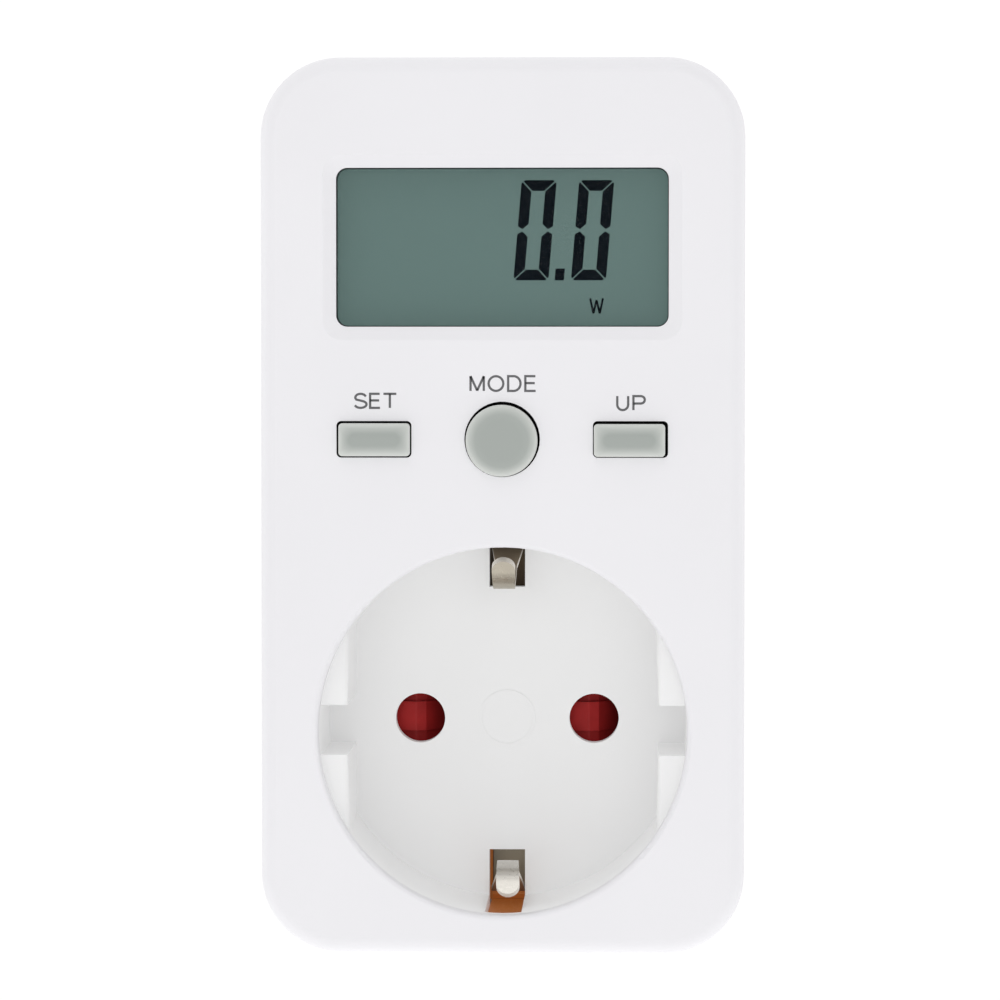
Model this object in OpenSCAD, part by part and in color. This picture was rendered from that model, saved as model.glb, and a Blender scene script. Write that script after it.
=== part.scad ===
// Plug-in power meter for a round two-pin wall socket with side earth contacts.
// X points right, Y points back into the wall, Z points up.
// The origin is on the plug's axis, at the flat nose that the two pins stand on.

/* [Housing] */
// Width of the housing
body_w = 51.1; // [51:0.1:52]
// Height of the housing
body_h = 94.6; // [94.4:0.2:96]
// Depth of the housing without the plug
body_d = 38.7; // [38.7:0.1:40]
// Radius of the four corners
corner_r = 8.4; // [8:0.1:8.6]
// Radius of the edge round the front face
edge_r = 1.6; // [1.2:0.1:1.8]
// Thickness of the side walls
wall = 1.8; // [1.7:0.05:1.8]
// Thickness of the front and rear walls
face_wall = 2; // [1.9:0.05:2]
// Height of the housing's centre above the plug's axis
centre_z = 23.8; // [23.8:0.1:24.4]

/* [Socket] */
// Diameter of the recess
recess_d = 39; // [38.8:0.1:39.2]
// Depth of the recess
recess_depth = 17.5; // [17.3:0.1:17.6]
// Distance between the axes of the two pins
pin_pitch = 19; // [18.9:0.05:19.1]
// Diameter of the pin holes in the recess floor
pin_hole_d = 5.4; // [5.2:0.1:5.6]
// Distance across the two flat sides of the recess
recess_flats = 33; // [32.8:0.1:33.2]
// Height of the guide notch in each flat side
guide_notch = 5.3; // [5.2:0.1:5.6]
// Width of the windows for the earth springs
earth_window = 3.9; // [3.8:0.1:4.2]
// Travel of the safety shutter
shutter_travel = 5.5; // [5.3:0.1:5.5]

/* [Plug] */
// Diameter of a plug pin
pin_d = 4.8; // [4.7:0.05:4.8]
// Length of a plug pin
pin_len = 19; // [18.5:0.1:19]
// Length of the plug body behind the housing
plug_len = 17.3; // [17:0.1:17.5]
// Diameter of the plug body
plug_d = 37.4; // [37:0.1:37.6]
// Distance across the flat sides of the plug body
plug_flats = 32; // [31.6:0.1:32.2]

/* [Display] */
// Width of the window
window_w = 35; // [34.6:0.1:35.2]
// Height of the window
window_h = 16.7; // [16.4:0.1:17]
// Height of the window's centre above the housing's centre
window_rise = 27.3; // [26.8:0.1:27.4]

/* [Buttons] */
// Height of the buttons above the housing's centre
button_rise = 7.1; // [6.8:0.1:7.2]
// Distance between neighbouring buttons
button_pitch = 13.5; // [13.2:0.1:13.6]
// Width of the holes for the oblong buttons
button_w = 7.9; // [7.9:0.1:8.1]
// Height of the holes for the oblong buttons
button_h = 3.85; // [3.85:0.05:4]
// Diameter of the hole for the round button
round_button_d = 7.95; // [7.95:0.05:8.1]
// How far a button stands out of the face
button_proud = 1.2; // [1:0.1:1.4]

/* [Hidden] */
$fn = 64;

// Planes across the depth
front_y = -(plug_len + body_d);
inner_y = front_y + face_wall;
rear_y = -plug_len;
rear_inner_y = rear_y - face_wall;
split_y = -30;
floor_y = front_y + recess_depth;
floor_t = 2;
floor_back_y = floor_y + floor_t;
nose_wall = 3;

// Socket recess
recess_r = recess_d / 2;
cup_r = recess_r + 1.7;
segment_y = front_y + 2.4;
earth_window_in = 14.4;
pin_x = pin_pitch / 2;
pin_r = pin_d / 2;

// Plug body
plug_r = plug_d / 2;
rib_w = 4.6;
plug_cavity_half_w = plug_flats / 2 - 1.9;
groove_w = 6;
groove_z = 15.4;
earth_face_z = 16.2;
earth_t = 0.7;
earth_half_w = 2.5;
bracket_bar_y = rear_inner_y - 1.5;

// Shutter, in the gap behind the recess floor
shutter_ridge_y = floor_back_y + 0.3;
shutter_base_t = 1.2;
shutter_back_y = shutter_ridge_y + 5.3;
shutter_half_h = 5;
wedge_half_h = 1.6;
flank_half_h = 3.5;
wedge_left = 3.2;
wedge_right = 3.05;
ridge_shift = 0.6;
spring_x = -22.1;
shutter_left = -14.3;

// Contact carrier
carrier_back_y = -22.5;
carrier_half_h = 10.2;
channel_back_y = shutter_back_y + 0.3;
contact_r = 3;
contact_front_y = channel_back_y + 0.3;
contact_back_y = -19.9;
carrier_screw_x = 14.4;
carrier_screw_z = 7.6;
carrier_boss_y = floor_back_y + 3;

// Earth springs: points of the leaf's inner face as [depth behind the front face, radius]
leaf_points = [[5.2, 17.75], [6.7, 15.6], [8.3, 14.75], [9.2, 14.6], [10, 14.75], [16, 16.7],
    [21.75, 19.12]];
leaf_t = 0.42;
leaf_half_w = 1.25;
leaf_neck_half_w = 1.15;
leaf_root_half_w = 1.85;
leaf_root = [21.75, 19.36];
leaf_curl_r = 0.27;
strap_z = 20.5;
strap_t = 0.6;
strap_half_w = 1.9;
strap_bar_half_w = 2.35;
strap_bar_y = -29;
foot_low_z = 13.6;

// Display stack, from the window back to the board
window_z = centre_z + window_rise;
window_r = 1.2;
bevel_w = 1.7;
bevel_d = 0.45;
pane_y = front_y + bevel_d + 0.05;
pane_flange_t = 0.8;
lcd_y = inner_y + 1;
lcd_t = 2.2;
lcd_w = 36;
lcd_h = 19;
board_y = inner_y + 7.5;
board_t = 1.2;
board_half_w = 23.2;
board_low_z = 24.5;
board_high_z = 68;
frame_half_w = 19.3;
frame_half_h = 11.3;
zebra_z = 8.2;

// Buttons
button_z = centre_z + button_rise;
cap_slack = 0.23;
set_cap_at = [0.04, -0.04];
mode_cap_at = [-0.05, -0.13];
up_cap_at = [-0.1, -0.1];
cap_front_y = front_y - button_proud;
cap_flange_t = 0.8;
stem_back_y = inner_y + 2.2;
switch_front_y = board_y - 3.5;
plunger_front_y = stem_back_y + 0.3;
plunger_r = 1.65;

// Power board, in front of the rear wall
power_y = -24;
power_t = 1.6;
power_half_w = 22.4;
power_low_z = 22.8;
power_high_z = 68.2;

// Screw places as [x, z]
housing_screw_spots = [[-19.5, -17.2], [19.5, -17.2], [-19.5, 65.2], [19.5, 65.2]];
pcb_screw_spots = [[-21.4, 28], [21.4, 28], [-21.4, 57.6], [21.4, 57.6]];
power_post_spots = [[-18, 30], [18, 30], [-18, 58], [18, 58]];

// Wire routes, as points along each wire
wire_r = 1.1;
line_feed_route = [[-9.5, -11, 2.8], [-9.5, -14, 3], [-9.2, -18, 6], [-8.6, -20.6, 11],
    [-8.2, -22.6, 15.5], [-8.2, -25.6, 19.5], [-8.2, -28, 23.5], [-8.2, -27.4, 26],
    [-8.2, -24.5, 26.6]];
line_return_route = [[-13.2, -24.5, 30.5], [-13.2, -28.4, 29], [-13, -29.4, 25],
    [-12.8, -26.4, 19], [-12.4, -22.2, 14], [-12.2, -20.9, 11], [-12, -20.7, 8],
    [-10.8, -20.9, 4.4]];
neutral_route = [[9.5, -11, 2.8], [9.5, -14, 3], [9.2, -18, 6], [8.6, -20.6, 11],
    [8.2, -22.6, 15.5], [8.2, -25.6, 19.5], [8.2, -28, 23.5], [8.2, -27.4, 26],
    [8.2, -24.5, 26.6]];
neutral_return_route = [[13.2, -24.5, 30.5], [13.2, -28.4, 29], [13, -29.4, 25],
    [12.8, -26.4, 19], [12.4, -22.2, 14], [12.2, -20.9, 11], [12, -20.7, 8],
    [10.8, -20.9, 4.4]];
earth_route = [[0, -27.8, 15.2], [-1, -26.6, 15.8], [-2.4, -25.2, 15.4],
    [-1.6, -23.4, 13.4], [0, -22.2, 12.6]];

// ---- helpers ----

module span_x(x0, x1) translate([x0, 0, 0]) rotate([90, 0, 90]) linear_extrude(x1 - x0) children();
module span_y(y0, y1) translate([0, y1, 0]) rotate([90, 0, 0]) linear_extrude(y1 - y0) children();
module span_z(z0, z1) translate([0, 0, z0]) linear_extrude(z1 - z0) children();

module rod_y(x, z, r, y0, y1) {
    translate([x, y1, z]) rotate([90, 0, 0]) cylinder(r = r, h = y1 - y0);
}

module block(x, y, z) {
    translate([x[0], y[0], z[0]]) cube([x[1] - x[0], y[1] - y[0], z[1] - z[0]]);
}

module rounded_rect(w, h, r) {
    square([w - 2 * r, h], center = true);
    square([w, h - 2 * r], center = true);
    for (sx = [-1, 1], sy = [-1, 1]) {
        translate([sx * (w / 2 - r), sy * (h / 2 - r)]) circle(r);
    }
}

module rounded_bar(w, h, r, x, z, y0, y1) {
    translate([x, 0, z]) span_y(y0, y1) rounded_rect(w, h, r);
}

// Half of a round-shouldered disc's section
module disc_section(r, depth, e) {
    square([r, depth - e]);
    square([r - e, depth]);
    translate([r - e, depth - e]) circle(e);
}

// Section of a slab that is rounded at both far corners
module slab_section(half, depth, e) {
    translate([-half, 0]) square([2 * half, depth - e]);
    translate([-(half - e), 0]) square([2 * (half - e), depth]);
    for (s = [-1, 1]) translate([s * (half - e), depth - e]) circle(e);
}

// Slab with round corners and a rounded edge all round its far face
module soft_slab(w, h, r, depth, e) {
    for (sx = [-1, 1], sy = [-1, 1]) {
        translate([sx * (w / 2 - r), sy * (h / 2 - r), 0]) rotate_extrude() disc_section(r, depth, e);
    }
    translate([-(w / 2 - r), 0, 0]) rotate([90, 0, 90]) linear_extrude(w - 2 * r)
        slab_section(h / 2, depth, e);
    translate([0, h / 2 - r, 0]) rotate([90, 0, 0]) linear_extrude(h - 2 * r)
        slab_section(w / 2, depth, e);
}

// Points of a smooth curve through a route, with n steps between neighbours
function curve_point(a, b, c, d, t) = 0.5 * (2 * b + (c - a) * t
    + (2 * a - 5 * b + 4 * c - d) * t * t + (3 * b - a - 3 * c + d) * t * t * t);
function smooth_route(p, n) = [
    for (i = [0:len(p) - 2], k = [0:n - 1])
        curve_point(p[max(i - 1, 0)], p[i], p[i + 1], p[min(i + 2, len(p) - 1)], k / n),
    p[len(p) - 1]];
function unit(v) = v / norm(v);
function heading(p, i) = unit(p[min(i + 1, len(p) - 1)] - p[max(i - 1, 0)]);
function ring_at(p, i, r, sides) =
    let (t = heading(p, i), u = unit(cross(t, [1, 0, 0])), v = cross(t, u))
    [for (k = [0:sides - 1]) p[i] + r * (cos(360 * k / sides) * u + sin(360 * k / sides) * v)];

module tube(p, r, sides = 8) {
    rings = [for (i = [0:len(p) - 1]) each ring_at(p, i, r, sides)];
    last = (len(p) - 1) * sides;
    polyhedron(rings, concat(
        [[for (k = [0:sides - 1]) k]],
        [for (i = [0:len(p) - 2], k = [0:sides - 1])
            let (a = i * sides + k, b = i * sides + (k + 1) % sides)
            each [[a, a + sides, b + sides], [a, b + sides, b]]],
        [[for (k = [sides - 1:-1:0]) last + k]]));
}

// ---- casing ----

module front_shell() color("gainsboro") difference() {
    union() {
        difference() {
            translate([0, split_y, centre_z]) rotate([90, 0, 0])
                soft_slab(body_w, body_h, corner_r, split_y - front_y, edge_r);
            rounded_bar(body_w - 2 * wall, body_h - 2 * wall, corner_r - wall, 0, centre_z,
                inner_y, split_y + 1);
            rounded_bar(body_w - wall, body_h - wall, corner_r - wall / 2, 0, centre_z,
                split_y - 1.6, split_y + 1);
        }
        rod_y(0, 0, cup_r + 1.2, inner_y - 0.5, inner_y + 2);
        for (p = housing_screw_spots) rod_y(p[0], p[1], 2.6, inner_y - 0.5, -26);
        for (p = pcb_screw_spots) rod_y(p[0], p[1], 1.9, inner_y - 0.5, board_y);
    }
    rod_y(0, 0, cup_r + 0.05, inner_y, inner_y + 3);
    rod_y(0, 0, recess_r, front_y - 1, inner_y + 1);
    mouth_round();
    display_opening();
    for (s = [-1, 1]) {
        rounded_bar(button_w, button_h, 0.5, s * button_pitch, button_z, front_y - 1, inner_y + 1);
    }
    rod_y(0, button_z, round_button_d / 2, front_y - 1, inner_y + 1);
    for (p = housing_screw_spots) rod_y(p[0], p[1], 1.3, -42, -25);
    for (p = pcb_screw_spots) rod_y(p[0], p[1], 0.9, inner_y + 0.5, board_y + 1);
}

// Rounds the edge of the recess mouth
module mouth_round() {
    mouth_e = 0.5;
    translate([0, front_y, 0]) rotate([90, 0, 0]) rotate_extrude() difference() {
        translate([recess_r - 1, -mouth_e]) square([1 + mouth_e, 1 + mouth_e]);
        translate([recess_r + mouth_e, -mouth_e]) circle(mouth_e);
    }
}

// Window cut-out with its sloped frame
module display_opening() {
    rounded_bar(window_w, window_h, window_r, 0, window_z, front_y - 1, inner_y + 1);
    translate([0, 0, window_z]) hull() {
        span_y(front_y + bevel_d - 0.01, front_y + bevel_d)
            rounded_rect(window_w, window_h, window_r, $fn = 32);
        span_y(front_y - 0.11, front_y - 0.1)
            rounded_rect(window_w + 2 * bevel_w, window_h + 2 * bevel_w, window_r + 1, $fn = 32);
    }
}

module rear_shell() color("gainsboro") difference() {
    union() {
        difference() {
            translate([0, split_y + 0.3, centre_z]) rotate([-90, 0, 0])
                soft_slab(body_w, body_h, corner_r, rear_y - split_y - 0.3, edge_r);
            rounded_bar(body_w - 2 * wall, body_h - 2 * wall, corner_r - wall, 0, centre_z,
                split_y - 1, rear_inner_y);
        }
        difference() {
            rounded_bar(body_w - wall - 0.1, body_h - wall - 0.1, corner_r - wall / 2 - 0.05, 0,
                centre_z, split_y - 1.4, split_y + 1);
            rounded_bar(body_w - 2 * wall, body_h - 2 * wall, corner_r - wall, 0, centre_z,
                split_y - 2, split_y + 2);
        }
        for (p = housing_screw_spots) rod_y(p[0], p[1], 3.1, -25.9, rear_inner_y + 0.5);
        for (p = power_post_spots) rod_y(p[0], p[1], 2, power_y + power_t, rear_inner_y + 0.5);
    }
    span_y(rear_inner_y - 1, rear_y + 1) plug_outline(0.05);
    for (z = [[15.3, 16.5], [-16.5, -15.3]]) block([-2.8, 2.8], [rear_inner_y - 1, rear_y + 1], z);
    for (p = housing_screw_spots) {
        rod_y(p[0], p[1], 1.6, -27, rear_y + 1);
        rod_y(p[0], p[1], 2.6, -21.5, rear_y + 1);
    }
}

// Outline of the plug body, grown by a gap for the hole that it fits
module plug_outline(gap = 0) difference() {
    union() {
        intersection() {
            circle(plug_r + gap);
            square([plug_flats + 2 * gap, plug_d + 1], center = true);
        }
        intersection() {
            circle(plug_r - 0.1 + gap);
            square([plug_d + 1, rib_w + 2 * gap], center = true);
        }
    }
    for (s = [-1, 1]) translate([gap - groove_w / 2, s > 0 ? groove_z + gap : -groove_z - gap - 5])
        square([groove_w - 2 * gap, 5]);
}

// Plug body with its pin holes, pushed through the rear wall from inside
module plug_insert() color("gainsboro") difference() {
    union() {
        intersection() {
            translate([0, rear_inner_y, 0]) rotate([-90, 0, 0]) rotate_extrude()
                disc_section(plug_r, plug_len + face_wall, 1.2);
            span_y(rear_inner_y - 1, 1) plug_outline();
        }
        span_y(rear_inner_y - 0.95, rear_inner_y - 0.05) difference() {
            circle(plug_r + 1.7);
            square([2 * plug_cavity_half_w, plug_d + 5], center = true);
        }
        for (s = [-1, 1]) block(s > 0 ? [plug_cavity_half_w, 15.5] : [-15.5, -plug_cavity_half_w],
            [rear_inner_y - 0.5, rear_inner_y + 0.5], [-6, 6]);
    }
    span_y(rear_inner_y - 2, -nose_wall) intersection() {
        circle(plug_r - 2.1);
        square([2 * plug_cavity_half_w, 27.4], center = true);
    }
    for (s = [-1, 1]) rod_y(s * pin_x, 0, pin_r + 0.22, -nose_wall - 1, 1);
}

module rating_plate() color("silver") {
    rounded_bar(30, 16, 1.2, 0, 50, rear_y + 0.01, rear_y + 0.16);
}

// ---- socket ----

module socket_insert() color("gainsboro") difference() {
    union() {
        difference() {
            rod_y(0, 0, cup_r, inner_y, floor_back_y);
            rod_y(0, 0, recess_r, inner_y - 1, floor_y);
        }
        guide_segments();
        difference() {
            rod_y(0, 0, 3.1, floor_y - 0.15, floor_y + 0.5);
            rod_y(0, 0, 2.75, floor_y - 1, floor_y);
        }
        for (s = [-1, 1]) {
            rod_y(s * carrier_screw_x, s * carrier_screw_z, 1.9, floor_y + 0.5, carrier_boss_y);
        }
    }
    for (s = [-1, 1]) {
        rod_y(s * pin_x, 0, pin_hole_d / 2, floor_y - 1, floor_back_y + 1);
        rod_y(s * carrier_screw_x, s * carrier_screw_z, 0.95, floor_back_y - 0.6, carrier_boss_y + 1);
        block([-earth_window / 2, earth_window / 2], [inner_y + 0.8, floor_back_y + 1],
            s > 0 ? [earth_window_in, cup_r + 1] : [-cup_r - 1, -earth_window_in]);
    }
}

// The two flat-sided segments with their guide notches
module guide_segments() span_y(segment_y, floor_y + 0.5) difference() {
    circle(recess_r + 0.3);
    square([recess_flats, recess_d + 2], center = true);
    square([recess_d + 2, guide_notch], center = true);
}

module contact_carrier() color("dimgray") difference() {
    block([-22.9, 18.6], [floor_back_y + 0.1, carrier_back_y], [-carrier_half_h, carrier_half_h]);
    block([-22.3, 13.4], [floor_back_y - 1, channel_back_y],
        [-shutter_half_h - 0.3, shutter_half_h + 0.3]);
    block([-strap_bar_half_w - 0.1, strap_bar_half_w + 0.1],
        [floor_back_y - 1, strap_bar_y + strap_t + 0.3],
        [-carrier_half_h - 1, carrier_half_h + 1]);
    for (s = [-1, 1]) {
        rod_y(s * pin_x, 0, contact_r + 0.3, channel_back_y - 1, carrier_back_y + 1);
        rod_y(s * carrier_screw_x, s * carrier_screw_z, 2.05, floor_back_y - 1, carrier_boss_y + 0.1);
        rod_y(s * carrier_screw_x, s * carrier_screw_z, 1.3, floor_back_y - 1, carrier_back_y + 1);
        rod_y(s * carrier_screw_x, s * carrier_screw_z, 2.1, -27, carrier_back_y + 1);
    }
}

// One ramp of the shutter: a flat, a ridge, and a slope that a pin pushes on
module shutter_ramp(x, half_h, set_back) span_z(-half_h, half_h) polygon([
    [x - wedge_left, shutter_ridge_y + set_back + 0.5],
    [x - ridge_shift - 0.1, shutter_ridge_y + set_back],
    [x - ridge_shift + 0.1, shutter_ridge_y + set_back],
    [x + ridge_shift - 0.1, shutter_ridge_y + set_back + 0.45],
    [x + wedge_right, shutter_back_y - shutter_base_t + 0.2],
    [x + wedge_right, shutter_back_y - shutter_base_t + 0.4],
    [x - wedge_left, shutter_back_y - shutter_base_t + 0.4]]);

module shutter() color("firebrick") {
    difference() {
        block([shutter_left, pin_x + wedge_right], [shutter_back_y - shutter_base_t, shutter_back_y],
            [-shutter_half_h, shutter_half_h]);
        block([wedge_right - pin_x, wedge_right - pin_x + shutter_travel],
            [shutter_back_y - 3, shutter_back_y + 1], [-2.7, 2.7]);
    }
    for (s = [-1, 1]) {
        shutter_ramp(s * pin_x, wedge_half_h, 0);
        shutter_ramp(s * pin_x, flank_half_h, 0.7);
    }
    block([shutter_left, shutter_left + 1.2], [shutter_ridge_y + 0.6, shutter_back_y - 0.5],
        [-shutter_half_h, shutter_half_h]);
}

module shutter_spring() color("silver") {
    turns = 5;
    steps = 12;
    coil_r = 1.35;
    length = shutter_left - spring_x - 0.5;
    mid_y = (shutter_ridge_y + shutter_back_y) / 2;
    tube([for (i = [0:turns * steps]) [spring_x + 0.25 + length * i / (turns * steps),
        mid_y + coil_r * cos(360 * i / steps), coil_r * sin(360 * i / steps)]], 0.18, 6);
}

// A split spring sleeve and its solder tail
module contact_sleeve(s) translate([s * pin_x, 0, 0]) {
    difference() {
        rod_y(0, 0, contact_r, contact_front_y, contact_back_y - 2);
        rod_y(0, 0, pin_r + 0.05, contact_front_y - 1, contact_back_y);
        block([-0.6, 0.6], [contact_front_y - 1, contact_back_y - 4], [-4, 0]);
    }
    block([-1.8, 1.8], [contact_back_y - 2.6, contact_back_y], [2.42, 3.1]);
}

module line_contact() color("goldenrod") contact_sleeve(-1);
module neutral_contact() color("goldenrod") contact_sleeve(1);

module plug_pin(s) translate([s * pin_x, 0, 0]) {
    rotate([-90, 0, 0]) rotate_extrude() intersection() {
        disc_section(pin_r, pin_len, 2);
        square([pin_r, pin_len]);
    }
    rod_y(0, 0, pin_r + 0.2, -nose_wall, 0);
    rod_y(0, 0, pin_r + 1.1, -nose_wall - 1.4, -nose_wall);
    rod_y(0, 0, 1.6, -12.5, -nose_wall - 1);
}

module line_pin() color("silver") plug_pin(-1);
module neutral_pin() color("silver") plug_pin(1);

// ---- earth path ----

// Section of the leaf in the plane of depth and radius
function outward(v) = unit([-v[1], v[0]]);
function outer_point(p, i, t) = p[i] + t * unit(outward(p[max(i, 1)] - p[max(i, 1) - 1])
    + outward(p[min(i + 1, len(p) - 1)] - p[min(i + 1, len(p) - 1) - 1]));
module leaf_section() translate([front_y, 0]) {
    n = len(leaf_points);
    polygon(concat(leaf_points, [for (i = [n - 1:-1:0]) outer_point(leaf_points, i, leaf_t)]));
}

module leaf_outline() {
    tip_y = front_y + leaf_points[0][0];
    ridge_y = front_y + 9.2;
    neck_y = front_y + 15.2;
    root_y = front_y + leaf_root[0] + 0.1;
    tip = [for (a = [5:10:85]) [leaf_half_w * sin(a), tip_y + 0.75 * (1 - cos(a))]];
    side = concat(tip, [[leaf_half_w, tip_y + 0.8], [leaf_neck_half_w, ridge_y],
        [leaf_neck_half_w, neck_y], [leaf_root_half_w, root_y - 0.5], [leaf_root_half_w, root_y]]);
    polygon(concat(side, [for (i = [len(side) - 1:-1:0]) [-side[i][0], side[i][1]]]));
}

// The bent strip, and the curl at its root that it flexes about
module earth_leaf(lean = 0) {
    root_y = front_y + leaf_root[0];
    intersection() {
        span_x(-3, 3) leaf_section();
        span_z(10, 22) translate([0, root_y]) rotate(lean) translate([0, -root_y]) leaf_outline();
    }
    span_x(-leaf_root_half_w, leaf_root_half_w) translate([root_y, leaf_root[1]]) circle(leaf_curl_r);
}

// The leaves lean a little to either side of their slots
module upper_earth_spring() color("silver") earth_leaf(-0.2);
module lower_earth_spring() color("silver") mirror([0, 0, 1]) earth_leaf(1.5);

// The two riveted feet that the leaves spring from, each bent down in front of the strap
module earth_spring_feet() color("silver") for (s = [0, 1]) mirror([0, 0, s])
    span_x(-leaf_root_half_w, leaf_root_half_w) polygon([
        [front_y + leaf_root[0] + 0.4, 19.45], [front_y + leaf_root[0] + 1.2, 19.75],
        [strap_bar_y - 0.6, 19.75], [strap_bar_y - 0.6, foot_low_z],
        [strap_bar_y - 0.05, foot_low_z], [strap_bar_y - 0.05, strap_z - 0.02],
        [front_y + leaf_root[0] + 1, strap_z - 0.02], [front_y + leaf_root[0] + 0.4, 20]]);

// A flat bar behind the cup, with a narrower arm forward at each end
module earth_strap() color("sienna") union() {
    for (s = [-1, 1]) {
        block([-strap_half_w, strap_half_w], [front_y + 6.5, strap_bar_y + strap_t],
            s > 0 ? [strap_z, strap_z + strap_t] : [-strap_z - strap_t, -strap_z]);
    }
    block([-strap_bar_half_w, strap_bar_half_w], [strap_bar_y, strap_bar_y + strap_t],
        [-strap_z - strap_t, strap_z + strap_t]);
}

module earth_rivets() color("silver") for (s = [0, 1]) mirror([0, 0, s]) {
    translate([0, strap_bar_y - 2.6, 19.25]) cylinder(r = 1, h = 0.5);
}

module plug_earth_bracket() color("silver") {
    for (s = [-1, 1]) {
        block([-earth_half_w, earth_half_w], [bracket_bar_y, -1],
            s > 0 ? [earth_face_z - earth_t, earth_face_z] : [-earth_face_z, earth_t - earth_face_z]);
    }
    block([-earth_half_w, earth_half_w], [bracket_bar_y - 0.8, bracket_bar_y + 0.2],
        [-earth_face_z, earth_face_z]);
}

// ---- display ----

module lcd_window() color("lightgray", 0.6) {
    rounded_bar(window_w - 0.2, window_h - 0.2, window_r - 0.1, 0, window_z, pane_y, inner_y);
    rounded_bar(window_w + 3, window_h + 3, window_r, 0, window_z, inner_y, inner_y + pane_flange_t);
}

module lcd_panel() color("slategray") {
    block([-lcd_w / 2, lcd_w / 2], [lcd_y, lcd_y + lcd_t], [window_z - lcd_h / 2, window_z + lcd_h / 2]);
}

module lcd_frame() color("whitesmoke") difference() {
    block([-frame_half_w, frame_half_w], [inner_y, board_y],
        [window_z - frame_half_h, window_z + frame_half_h]);
    rounded_bar(window_w + 3.2, window_h + 3.2, window_r + 0.1, 0, window_z, inner_y - 1, lcd_y);
    block([-lcd_w / 2 - 0.1, lcd_w / 2 + 0.1], [lcd_y - 0.1, lcd_y + lcd_t + 0.02],
        [window_z - lcd_h / 2 - 0.1, window_z + lcd_h / 2 + 0.1]);
    for (s = [-1, 1]) {
        block([-17.1, 17.1], [lcd_y + lcd_t - 1, board_y + 1],
            [window_z + s * zebra_z - 1.1, window_z + s * zebra_z + 1.1]);
    }
}

module zebra_strip(s) {
    block([-17, 17], [lcd_y + lcd_t + 0.02, board_y - 0.02],
        [window_z + s * zebra_z - 1, window_z + s * zebra_z + 1]);
}
module upper_zebra_strip() color("lightpink") zebra_strip(1);
module lower_zebra_strip() color("lightpink") zebra_strip(-1);

module display_pcb() color("seagreen") difference() {
    block([-board_half_w, board_half_w], [board_y, board_y + board_t], [board_low_z, board_high_z]);
    for (p = housing_screw_spots) rod_y(p[0], p[1], 3.4, board_y - 1, board_y + board_t + 1);
    for (p = pcb_screw_spots) rod_y(p[0], p[1], 1.1, board_y - 1, board_y + board_t + 1);
    for (s = [-1, 1]) block(s > 0 ? [21.4, 24] : [-24, -21.4], [board_y - 1, board_y + board_t + 1], [63, 69]);
}

module metering_chip() color("black") {
    block([-4.5, 4.5], [board_y + board_t + 0.01, board_y + board_t + 1.6], [47, 56]);
}

module clock_crystal() color("silver") {
    translate([12, board_y + board_t + 1.1, 50]) cylinder(r = 1, h = 6);
    for (s = [-1, 1]) block([12 + s * 0.5 - 0.15, 12 + s * 0.5 + 0.15],
        [board_y + board_t + 0.95, board_y + board_t + 1.25], [47.4, 50.2]);
}

module backup_cell() color("silver") {
    rod_y(-13, 40, 5.8, board_y + board_t + 0.3, board_y + board_t + 5.3);
    rod_y(-13, 40, 4.6, board_y + board_t + 0.02, board_y + board_t + 0.5);
}

// ---- buttons ----

// A cap sits in its hole with some slack, a little to one side
module oblong_cap(x, at, slack) {
    rounded_bar(button_w - slack, button_h - slack, 0.4, x + at[0], button_z + at[1],
        cap_front_y, inner_y + 0.1);
    rounded_bar(button_w + 1.4, button_h + 1.4, 0.8, x, button_z,
        inner_y + 0.1, inner_y + 0.1 + cap_flange_t);
    rod_y(x, button_z, 1.5, inner_y + 0.5, stem_back_y);
}

module round_cap(at, slack) {
    rod_y(at[0], button_z + at[1], (round_button_d - slack) / 2, cap_front_y, inner_y + 0.1);
    rod_y(0, button_z, round_button_d / 2 + 0.7, inner_y + 0.1, inner_y + 0.1 + cap_flange_t);
    rod_y(0, button_z, 1.5, inner_y + 0.5, stem_back_y);
}

module set_button() color("darkgray") oblong_cap(-button_pitch, set_cap_at, cap_slack);
module mode_button() color("darkgray") round_cap(mode_cap_at, 0.35);
module up_button() color("darkgray") oblong_cap(button_pitch, up_cap_at, 0.31);

module switch_body(x) difference() {
    union() {
        block([x - 3, x + 3], [switch_front_y + 0.3, board_y - 0.01], [button_z - 3, button_z + 3]);
        block([x - 2.9, x + 2.9], [switch_front_y, switch_front_y + 0.3],
            [button_z - 2.9, button_z + 2.9]);
    }
    rod_y(x, button_z, plunger_r + 0.15, switch_front_y - 1, switch_front_y + 1);
}
module set_switch() color("black") switch_body(-button_pitch);
module mode_switch() color("black") switch_body(0);
module up_switch() color("black") switch_body(button_pitch);

module switch_plunger(x) rod_y(x, button_z, plunger_r, plunger_front_y, switch_front_y + 0.6);
module set_plunger() color("saddlebrown") switch_plunger(-button_pitch);
module mode_plunger() color("saddlebrown") switch_plunger(0);
module up_plunger() color("saddlebrown") switch_plunger(button_pitch);

// ---- power board ----

module power_pcb() color("seagreen") difference() {
    block([-power_half_w, power_half_w], [power_y, power_y + power_t], [power_low_z, power_high_z]);
    for (p = housing_screw_spots) rod_y(p[0], p[1], 3.6, power_y - 1, power_y + power_t + 1);
    for (s = [-1, 1]) block(s > 0 ? [19.4, 24] : [-24, -19.4], [power_y - 1, power_y + power_t + 1], [61.6, 69]);
}

module film_capacitor() color("gold") {
    block([-16, 2], [power_y - 12.5, power_y - 0.6], [52, 60]);
    for (x = [-14.5, 0.5]) rod_y(x, 56, 0.4, power_y - 0.7, power_y - 0.01);
}

module electrolytic_capacitor() color("midnightblue") difference() {
    rod_y(12, 56, 4, power_y - 13, power_y - 0.01);
    translate([12, power_y - 2.5, 56]) rotate([90, 0, 0]) rotate_extrude() translate([4.1, 0]) circle(0.4);
}

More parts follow.
